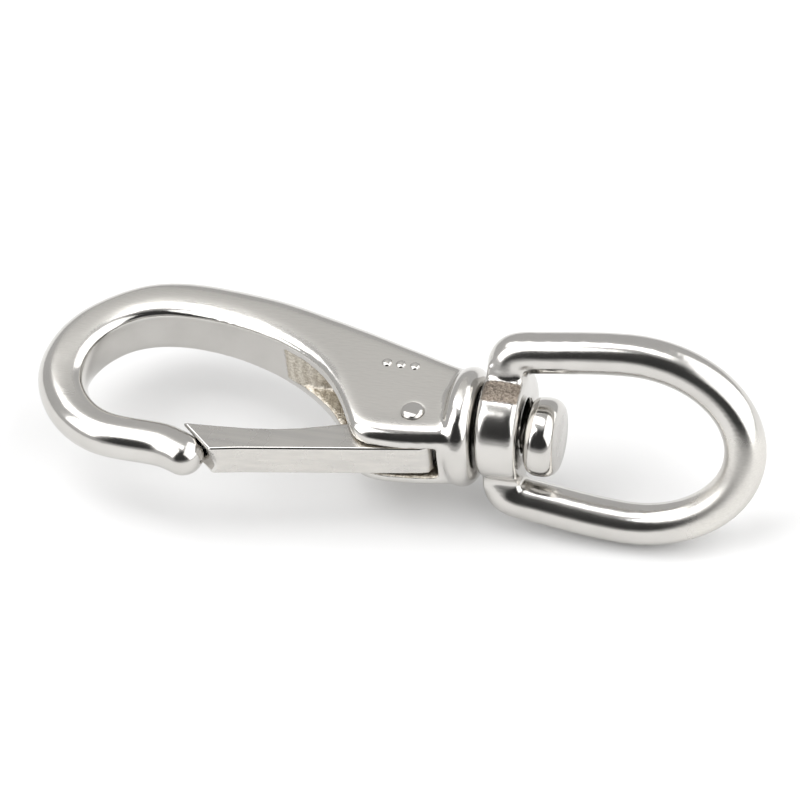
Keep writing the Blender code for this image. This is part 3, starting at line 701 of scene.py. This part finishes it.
def build_gate():
    gate = add_piece("gate_lever", prism(GATE_OUTLINE, GATE_HALF_THICKNESS))
    saddle = rod("saddle_tool", Vector((*NOSE_SADDLE_START, 0.0)),
                 Vector((*NOSE_SADDLE_END, 0.0)), NOSE_SADDLE_RADIUS, NOSE_SADDLE_FACETS)
    add_boolean(gate, saddle, "DIFFERENCE")
    fork_outline = (
        (GATE_FORK_X[0], GATE_FORK_Y[0] - GATE_FORK_SLOPE), (GATE_FORK_X[1], GATE_FORK_Y[0]),
        (GATE_FORK_X[1], GATE_FORK_Y[1]), (GATE_FORK_X[0], GATE_FORK_Y[1]),
    )
    fork = add_piece("fork_tool", prism(fork_outline, GATE_FORK_HALF_WIDTH))
    add_boolean(gate, fork, "DIFFERENCE")
    reach = UP * GATE_PIN_HOLE_REACH
    hole = rod("gate_hole_tool", PIN - reach, PIN + reach, GATE_PIN_HOLE_RADIUS)
    add_boolean(gate, hole, "DIFFERENCE")
    bevel = gate.modifiers.new("edge_break", "BEVEL")
    bevel.width = GATE_EDGE_BREAK * MM
    bevel.segments = GATE_EDGE_STEPS
    bevel.limit_method = "ANGLE"
    bevel.angle_limit = math.radians(GATE_EDGE_ANGLE)
    bevel.harden_normals = True
    weighted = gate.modifiers.new("even_shading", "WEIGHTED_NORMAL")
    weighted.keep_sharp = False
    apply_modifiers(gate)
    paint(gate, "satin", satin_on_gate)
    return gate


def build_gate_pin():
    """Straight rivet with a domed head on each cheek."""
    seat = CHEEK_HALF_THICKNESS + PIN_SEAT_GAP
    head = []
    for k in range(1, PIN_HEAD_STEPS + 1):
        angle = 0.5 * math.pi * k / PIN_HEAD_STEPS
        head.append((seat + PIN_HEAD_HEIGHT * math.cos(angle), PIN_HEAD_RADIUS * math.sin(angle)))
    profile = head + [(seat, PIN_RADIUS), (-seat, PIN_RADIUS)]
    profile += [(-height, radius) for height, radius in reversed(head)]
    pin = turned("gate_rivet", profile, ROD_FACETS, PIN, axis="Z")
    shade_sharp(pin, PIN_SHARP_ANGLE)
    return pin


def coil_point(angle_degrees):
    """Point on the spring's coil this far round from the gate's leg."""
    angle = math.radians(COIL_START_ANGLE + angle_degrees)
    height = COIL_HEIGHT * (angle_degrees / COIL_SWEEP_ANGLE - 0.5)
    return PIN + Vector((COIL_RADIUS * math.cos(angle), COIL_RADIUS * math.sin(angle), height))


def build_gate_spring():
    """The coil with its leg in the slot, and the leg that moves with the gate."""
    coil = [coil_point(COIL_SWEEP_ANGLE * k / COIL_STEPS) for k in range(COIL_STEPS + 1)]
    end_angle = math.radians(COIL_START_ANGLE + COIL_SWEEP_ANGLE)
    slot_leg = Vector((-math.sin(end_angle), math.cos(end_angle), 0.0))
    coil.append(coil[-1] + slot_leg * SLOT_LEG_LENGTH)
    start_angle = math.radians(COIL_START_ANGLE)
    gate_leg = Vector((math.sin(start_angle), -math.cos(start_angle), 0.0))
    leg = [coil_point(GATE_LEG_SWEEP * k / GATE_LEG_STEPS) for k in range(GATE_LEG_STEPS + 1)]
    leg.insert(0, leg[0] + gate_leg * GATE_LEG_LENGTH)
    pieces = []
    for name, path in (("spring_coil", coil), ("spring_gate_leg", leg)):
        mesh_bm = bmesh.new()
        swept_bar(mesh_bm, path, [WIRE_RADIUS] * len(path), WIRE_FACETS, UP)
        wire = add_piece(name, mesh_bm)
        shade_sharp(wire, WIRE_SHARP_ANGLE)
        pieces.append(wire)
    return pieces


# Swivel stud and eye ----------------------------------------------------------------------
def build_swivel_stud():
    """Stud with an upset tail in the slot and a button head inside the eye."""
    head = smooth_path([Vector(row) for row in STUD_HEAD_PROFILE], STUD_HEAD_STEPS)
    tail_start, tail_end = STUD_TAIL_X
    profile = [
        (tail_start, STUD_TAIL_RADIUS - STUD_TAIL_CHAMFER),
        (tail_start + STUD_TAIL_CHAMFER, STUD_TAIL_RADIUS),
        (tail_end, STUD_TAIL_RADIUS),
        (tail_end + STUD_TAIL_NECK, STUD_RADIUS),
        (head[0].x, STUD_RADIUS),
    ]
    profile += [(point.x, point.y) for point in head]
    stud = turned("swivel_button", profile, TURNED_FACETS)
    shade_sharp(stud, STUD_SHARP_ANGLE)
    satin_start = head[-1].x - STUD_SATIN_DEPTH[0]
    satin_full = head[-1].x - STUD_SATIN_DEPTH[1]

    def satin(point, normal):
        return ramp(normal.x, *STUD_SATIN_FACING) * ramp(point.x, satin_start, satin_full)

    paint(stud, "satin", satin)
    return stud


def eye_ring_profile():
    """Ring with rounded rims and two shallow faces."""
    low, high = EYE_RING_X
    edge = EYE_RING_EDGE
    shoulder = EYE_RING_RADIUS - edge
    angles = [0.5 * math.pi * k / EYE_RING_EDGE_STEPS for k in range(EYE_RING_EDGE_STEPS + 1)]
    profile = [(low, shoulder - EYE_RING_FACE_DROP)]
    for angle in angles:
        profile.append((low + edge * (1.0 - math.cos(angle)), shoulder + edge * math.sin(angle)))
    for angle in angles:
        profile.append((high - edge * (1.0 - math.sin(angle)), shoulder + edge * math.cos(angle)))
    profile.append((high, shoulder - EYE_RING_FACE_DROP))
    return profile


def eye_bow_path():
    """Whole bow as (x, distance from the axis, bar radius): leg, closed end, other leg."""
    leg = [Vector(row) for row in EYE_LEG]
    mirrored = [Vector((x, -away, radius)) for x, away, radius in reversed(EYE_LEG)]
    end = []
    for k in range(EYE_END_STEPS + 1):
        angle = math.pi * (0.5 - k / EYE_END_STEPS)
        x = EYE_END_CENTRE_X + EYE_END_SEMI_LENGTH * math.cos(angle)
        end.append(Vector((x, EYE_END_HALF_WIDTH * math.sin(angle), EYE_BAR_RADIUS)))
    first = smooth_path(leg + [end[0]], EYE_LEG_STEPS)[:-1]
    last = smooth_path([end[-1]] + mirrored, EYE_LEG_STEPS)[1:]
    return smoothed(first + end + last, EYE_BOW_SMOOTHING)


def add_eye_webs(mesh_bm, centre, plane, normal):
    """The flat webs that the two legs grow out of, on either side of the ring."""
    near, far = EYE_WEB_REACH
    for side in (-1.0, 1.0):
        rings = []
        for x in EYE_WEB_X:
            corners = []
            for away, lift in ((near, -1.0), (far, -1.0), (far, 1.0), (near, 1.0)):
                offset = plane * side * away + normal * lift * EYE_WEB_HALF_THICKNESS
                corners.append(mesh_bm.verts.new(centre + Vector((x, 0.0, 0.0)) + offset))
            rings.append(corners)
        closed_skin(mesh_bm, rings)


def paint_eye(eye, centre, plane, normal):
    """Rough skin beside the upper leg's root, and a duller closed end."""
    start, full, fading, end = RAW_PATCH_ANGLES

    def raw(point, vert_normal):
        if point.x > EYE_RING_X[1] + RAW_PATCH_MARGIN:
            return 0.0
        spoke = point - centre
        turned_by = math.degrees(math.atan2(spoke.dot(normal), spoke.dot(plane)))
        radial = (spoke - Vector((spoke.x, 0.0, 0.0))).normalized()
        on_barrel = ramp(vert_normal.dot(radial), *RAW_PATCH_FACING)
        return on_barrel * ramp(turned_by, start, full) * (1.0 - ramp(turned_by, fading, end))

    def satin(point, vert_normal):
        below = -(point - centre).dot(plane)
        return EYE_SATIN_SHARE * ramp(point.x, *EYE_SATIN_X) * ramp(below, *EYE_SATIN_BELOW)

    paint(eye, "raw", raw)
    paint(eye, "satin", satin)


def build_swivel_eye():
    """Ring round the stud with a long bow, turned about the swivel axis to where it lies."""
    turn = math.radians(EYE_TURN)
    plane = Vector((0.0, math.cos(turn), math.sin(turn)))
    normal = Vector((0.0, -math.sin(turn), math.cos(turn)))
    centre = plane * EYE_LOOSENESS
    eye_bm = bmesh.new()
    bow = eye_bow_path()
    path = [centre + Vector((x, 0.0, 0.0)) + plane * away for x, away, _ in bow]
    swept_bar(eye_bm, path, [radius for _, _, radius in bow], EYE_BAR_FACETS, normal)
    turned_skin(eye_bm, eye_ring_profile(), TURNED_FACETS, centre)
    add_eye_webs(eye_bm, centre, plane, normal)
    eye = add_piece("swivel_eye_casting", eye_bm)
    add_skin(eye, EYE_VOXEL)
    bore_start = centre + Vector((EYE_RING_X[0] - EYE_RING_BORE_REACH, 0.0, 0.0))
    bore_end = centre + Vector((EYE_RING_X[1] + EYE_RING_BORE_REACH, 0.0, 0.0))
    bore = rod("eye_bore_tool", bore_start, bore_end, EYE_RING_BORE_RADIUS, EYE_RING_BORE_FACETS)
    add_boolean(eye, bore, "DIFFERENCE")
    add_cast_finish(eye, EYE_VOXEL, EYE_SMOOTHING)
    apply_modifiers(eye)
    paint_eye(eye, centre, plane, normal)
    return eye


# Materials --------------------------------------------------------------------------------
class Shader:
    """Small helper that adds and joins nodes in one material."""

    def __init__(self, name):
        self.material = bpy.data.materials.new(name)
        self.material.use_nodes = True
        self.tree = self.material.node_tree
        self.principled = self.tree.nodes["Principled BSDF"]
        self.principled.inputs["Metallic"].default_value = 1.0
        self.position = self.add("ShaderNodeTexCoord").outputs["Object"]

    def add(self, kind, **settings):
        node = self.tree.nodes.new(kind)
        for key, value in settings.items():
            setattr(node, key, value)
        return node

    def join(self, source, target):
        self.tree.links.new(source, target)

    def noise(self, scale, detail, stretch=(1.0, 1.0, 1.0)):
        """Noise with `scale` features per metre, drawn out by `stretch`."""
        mapping = self.add("ShaderNodeMapping")
        mapping.inputs["Scale"].default_value = stretch
        self.join(self.position, mapping.inputs["Vector"])
        noise = self.add("ShaderNodeTexNoise")
        noise.inputs["Scale"].default_value = scale
        noise.inputs["Detail"].default_value = detail
        self.join(mapping.outputs["Vector"], noise.inputs["Vector"])
        return noise.outputs["Fac"]

    def ripples(self, pitch):
        """Uneven bands across the swivel axis, `pitch` metres apart."""
        wave = self.add("ShaderNodeTexWave", bands_direction="X")
        wave.inputs["Scale"].default_value = math.pi / (10.0 * pitch)
        wave.inputs["Distortion"].default_value = 3.0
        wave.inputs["Detail"].default_value = 2.0
        wave.inputs["Detail Scale"].default_value = 2.0
        self.join(self.position, wave.inputs["Vector"])
        return wave.outputs["Fac"]

    def layer(self, name):
        """A per-vertex layer that `paint` wrote."""
        return self.add("ShaderNodeAttribute", attribute_name=name).outputs["Fac"]

    def span(self, value, low, high, start=0.0, end=1.0):
        """Takes low..high of a value to start..end."""
        node = self.add("ShaderNodeMapRange")
        node.inputs["From Min"].default_value = low
        node.inputs["From Max"].default_value = high
        node.inputs["To Min"].default_value = start
        node.inputs["To Max"].default_value = end
        self.join(value, node.inputs["Value"])
        return node.outputs["Result"]

    def math(self, operation, first, second):
        node = self.add("ShaderNodeMath", operation=operation)
        for socket, value in zip(node.inputs, (first, second)):
            if isinstance(value, float):
                socket.default_value = value
            else:
                self.join(value, socket)
        return node.outputs["Value"]

    def mix(self, factor, first, second):
        """Mixes two colours, each given as a socket or as three numbers."""
        node = self.add("ShaderNodeMix", data_type="RGBA")
        self.join(factor, node.inputs[0])
        for socket, value in zip((node.inputs[6], node.inputs[7]), (first, second)):
            if isinstance(value, tuple):
                socket.default_value = (*value, 1.0)
            else:
                self.join(value, socket)
        return node.outputs[2]

    def blend_value(self, factor, first, second):
        """Mixes two numbers or sockets."""
        node = self.add("ShaderNodeMix", data_type="FLOAT")
        self.join(factor, node.inputs[0])
        for socket, value in zip((node.inputs[2], node.inputs[3]), (first, second)):
            if isinstance(value, float):
                socket.default_value = value
            else:
                self.join(value, socket)
        return node.outputs[0]

    def bump(self, height, distance, below=None):
        """Bumps `distance` metres high, on top of the bumps `below`."""
        node = self.add("ShaderNodeBump")
        node.inputs["Distance"].default_value = distance
        self.join(height, node.inputs["Height"])
        if below is not None:
            self.join(below, node.inputs["Normal"])
        return node.outputs["Normal"]

    def finish(self, colour, roughness, normal):
        self.join(colour, self.principled.inputs["Base Color"])
        self.join(roughness, self.principled.inputs["Roughness"])
        self.join(normal, self.principled.inputs["Normal"])
        return self.material


def cast_steel(name, streaks, polish, skin, ripple_share):
    """Tumbled and buffed cast stainless, satin where `satin` says and raw where `raw` does."""
    shader = Shader(name)
    satin = shader.layer("satin")
    cloud = shader.noise(scale=160.0, detail=4.0)
    peel = shader.noise(scale=700.0, detail=2.0)
    scratches = shader.noise(scale=5200.0, detail=5.0, stretch=streaks)
    grain = shader.noise(scale=3600.0, detail=6.0)
    ragged = shader.math("MULTIPLY", shader.noise(scale=1500.0, detail=3.0), 0.6)
    raw = shader.span(shader.math("ADD", shader.layer("raw"), ragged), low=0.62, high=0.95)
    polished = shader.mix(shader.span(cloud, low=0.35, high=0.7), POLISHED, POLISHED_WORN)
    ground = shader.mix(shader.span(scratches, low=0.3, high=0.75), SATIN, SATIN_WORN)
    ripples = shader.ripples(SLOT_RIPPLE_PITCH * MM)
    stain = shader.math("ADD", grain, shader.math("MULTIPLY", ripples, ripple_share))
    cast_skin = shader.mix(shader.span(stain, low=0.40, high=0.75), *skin)
    colour = shader.mix(raw, shader.mix(satin, polished, ground), cast_skin)
    buffed = shader.span(cloud, *NOISE_SPAN, *polish)
    brushed = shader.span(scratches, *NOISE_SPAN, *SATIN_ROUGHNESS)
    worked = shader.blend_value(satin, buffed, brushed)
    roughness = shader.blend_value(raw, worked, SKIN_ROUGHNESS)
    fine = shader.math("MULTIPLY", scratches, shader.span(satin, 0.0, 1.0, start=0.10))
    rough = shader.math("MULTIPLY", grain, raw)
    normal = shader.bump(peel, distance=0.000012)
    normal = shader.bump(fine, distance=0.000006, below=normal)
    normal = shader.bump(rough, distance=0.00012, below=normal)
    return shader.finish(colour, roughness, normal)


def ground_steel(name):
    """The gate's lever: stamped, ground along its length, with buffed edges."""
    shader = Shader(name)
    flat = shader.layer("satin")
    cloud = shader.noise(scale=220.0, detail=4.0)
    brushing = shader.noise(scale=1500.0, detail=3.0, stretch=GATE_STREAKS)
    ground = shader.mix(shader.span(brushing, *NOISE_SPAN), SATIN_WORN, POLISHED_WORN)
    colour = shader.mix(flat, POLISHED, ground)
    satin = shader.span(cloud, *NOISE_SPAN, *GATE_FLAT_ROUGHNESS)
    roughness = shader.blend_value(flat, GATE_EDGE_ROUGHNESS, satin)
    normal = shader.bump(shader.noise(scale=420.0, detail=2.0), distance=0.000008)
    return shader.finish(colour, roughness, normal)


def turned_steel(name):
    """Turned and polished: fine rings about the swivel axis."""
    shader = Shader(name)
    cloud = shader.noise(scale=260.0, detail=3.0)
    rings = shader.noise(scale=3400.0, detail=3.0, stretch=STUD_RINGS)
    satin = shader.layer("satin")
    colour = shader.mix(shader.span(cloud, low=0.35, high=0.7), POLISHED, POLISHED_WORN)
    polish = shader.span(rings, *NOISE_SPAN, *STUD_SIDE_ROUGHNESS)
    face = shader.span(cloud, *NOISE_SPAN, *STUD_FACE_ROUGHNESS)
    roughness = shader.blend_value(satin, polish, face)
    normal = shader.bump(rings, distance=0.000008)
    return shader.finish(colour, roughness, normal)


def wire_steel(name):
    """Drawn spring wire, darker and duller than the castings."""
    shader = Shader(name)
    cloud = shader.noise(scale=900.0, detail=4.0)
    colour = shader.mix(shader.span(cloud, *NOISE_SPAN), WIRE, POLISHED_WORN)
    roughness = shader.span(cloud, *NOISE_SPAN, *WIRE_ROUGHNESS)
    normal = shader.bump(shader.noise(scale=6000.0, detail=3.0), distance=0.00001)
    return shader.finish(colour, roughness, normal)


# Studio -----------------------------------------------------------------------------------
def direction(azimuth, elevation):
    azimuth, elevation = math.radians(azimuth), math.radians(elevation)
    return Vector((math.cos(azimuth) * math.cos(elevation),
                   math.sin(azimuth) * math.cos(elevation), math.sin(elevation)))


def add_camera():
    """Long lens at the same angle to the hook as a catalogue picture."""
    azimuth = math.radians(CAMERA_AZIMUTH)
    elevation = math.radians(CAMERA_ELEVATION)
    turn = Matrix.Rotation(azimuth, 3, "Z") @ Matrix.Rotation(math.pi / 2 - elevation, 3, "X")
    turn = turn @ Matrix.Rotation(-math.radians(CAMERA_ROLL), 3, "Z")
    right, up, back = turn.col
    aim = ORIGIN + (right * CAMERA_AIM[0] + up * CAMERA_AIM[1]) * MM
    camera = bpy.data.objects.new("camera", bpy.data.cameras.new("camera"))
    bpy.context.scene.collection.objects.link(camera)
    spot = aim + back * CAMERA_DISTANCE * MM
    camera.matrix_world = Matrix.Translation(spot) @ turn.to_4x4()
    camera.data.sensor_width = CAMERA_SENSOR
    camera.data.lens = CAMERA_LENS
    camera.data.clip_start = CAMERA_CLIP_START
    bpy.context.scene.camera = camera


def add_soft_boxes():
    """Large rectangular lamps round the hook, which the camera itself can't see."""
    for name, (azimuth, elevation, width, height, radiance) in SOFT_BOXES.items():
        light = bpy.data.lights.new(name, "AREA")
        light.shape = "RECTANGLE"
        light.size = width
        light.size_y = height
        light.energy = radiance * math.pi * width * height
        lamp = bpy.data.objects.new(name, light)
        bpy.context.scene.collection.objects.link(lamp)
        towards = direction(azimuth, elevation)
        lamp.location = ORIGIN + towards * SOFT_BOX_DISTANCE
        lamp.rotation_euler = towards.to_track_quat("Z", "Y").to_euler()
        lamp.visible_camera = False


def add_tent():
    """World: pale walls all round, with a dark gap on the camera's side."""
    world = bpy.data.worlds.new("light_tent")
    bpy.context.scene.world = world
    world.use_nodes = True
    tree = world.node_tree
    tree.nodes.clear()

    def node(kind, **settings):
        made = tree.nodes.new(kind)
        for key, value in settings.items():
            setattr(made, key, value)
        return made

    def calc(operation, first, second=0.0):
        made = node("ShaderNodeMath", operation=operation)
        for socket, value in zip(made.inputs, (first, second)):
            if isinstance(value, float):
                socket.default_value = value
            else:
                tree.links.new(value, socket)
        return made.outputs["Value"]

    def inside(angle, middle, half):
        """1 within half of the middle, 0 outside, with a soft edge."""
        away = calc("ABSOLUTE", calc("SUBTRACT", angle, math.radians(middle)))
        step = node("ShaderNodeMapRange", interpolation_type="SMOOTHSTEP")
        step.inputs["From Min"].default_value = math.radians(half + GAP_EDGE)
        step.inputs["From Max"].default_value = math.radians(half - GAP_EDGE)
        tree.links.new(away, step.inputs["Value"])
        return step.outputs["Result"]

    ray = node("ShaderNodeSeparateXYZ")
    tree.links.new(node("ShaderNodeTexCoord").outputs["Generated"], ray.inputs["Vector"])
    azimuth = calc("ARCTAN2", ray.outputs["Y"], ray.outputs["X"])
    elevation = calc("ARCSINE", ray.outputs["Z"])
    gap = calc("MULTIPLY", inside(azimuth, GAP_CENTRE[0], GAP_HALF_SIZE[0]),
               inside(elevation, GAP_CENTRE[1], GAP_HALF_SIZE[1]))
    level = node("ShaderNodeMapRange")
    level.inputs["To Min"].default_value = TENT_GREY
    level.inputs["To Max"].default_value = TENT_DARK
    tree.links.new(gap, level.inputs["Value"])
    background = node("ShaderNodeBackground")
    tree.links.new(level.outputs["Result"], background.inputs["Strength"])
    output = node("ShaderNodeOutputWorld")
    tree.links.new(background.outputs["Background"], output.inputs["Surface"])


def add_floor():
    """Plain pale floor just under the hook."""
    mesh_bm = bmesh.new()
    bmesh.ops.create_circle(mesh_bm, cap_ends=True, segments=TURNED_FACETS,
                            radius=FLOOR_RADIUS)
    mesh = bpy.data.meshes.new("floor")
    mesh_bm.to_mesh(mesh)
    mesh_bm.free()
    floor = bpy.data.objects.new("floor", mesh)
    floor.location = (ORIGIN.x, ORIGIN.y, CAD_BOX[0][2] - FLOOR_GAP)
    bpy.context.scene.collection.objects.link(floor)
    material = bpy.data.materials.new("pale_floor")
    material.use_nodes = True
    shader = material.node_tree.nodes["Principled BSDF"]
    shader.inputs["Base Color"].default_value = (*FLOOR_COLOUR, 1.0)
    shader.inputs["Roughness"].default_value = FLOOR_ROUGHNESS
    shader.inputs["Specular IOR Level"].default_value = FLOOR_SPECULAR
    mesh.materials.append(material)


def dress(obj, material, body, node):
    """Gives a piece its material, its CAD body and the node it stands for."""
    obj.data.materials.clear()
    obj.data.materials.append(material)
    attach(obj, body)
    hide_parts(node)


def main():
    body_steel = cast_steel("cast_body_steel", HOOK_STREAKS, HOOK_POLISH, SLOT_SKIN,
                            SLOT_RIPPLE_SHARE)
    eye_steel = cast_steel("cast_eye_steel", EYE_STREAKS, EYE_POLISH, RING_SKIN, 0.0)
    gate_steel = ground_steel("gate_steel")
    stud_steel = turned_steel("turned_steel")
    spring_steel = wire_steel("spring_steel")

    dress(build_hook_body(), body_steel, "hook", "hook_body")
    dress(build_gate(), gate_steel, "gate", "gate")
    dress(build_gate_pin(), stud_steel, "hook", "gate_pin")
    coil, gate_leg = build_gate_spring()
    dress(coil, spring_steel, "hook", "gate_spring")
    dress(gate_leg, spring_steel, "gate", "gate_spring")
    dress(build_swivel_stud(), stud_steel, "hook", "swivel_stud")
    dress(build_swivel_eye(), eye_steel, "eye", "swivel_eye")

    add_floor()
    add_soft_boxes()
    add_tent()
    add_camera()
    bpy.context.scene.view_settings.view_transform = "Standard"


main()
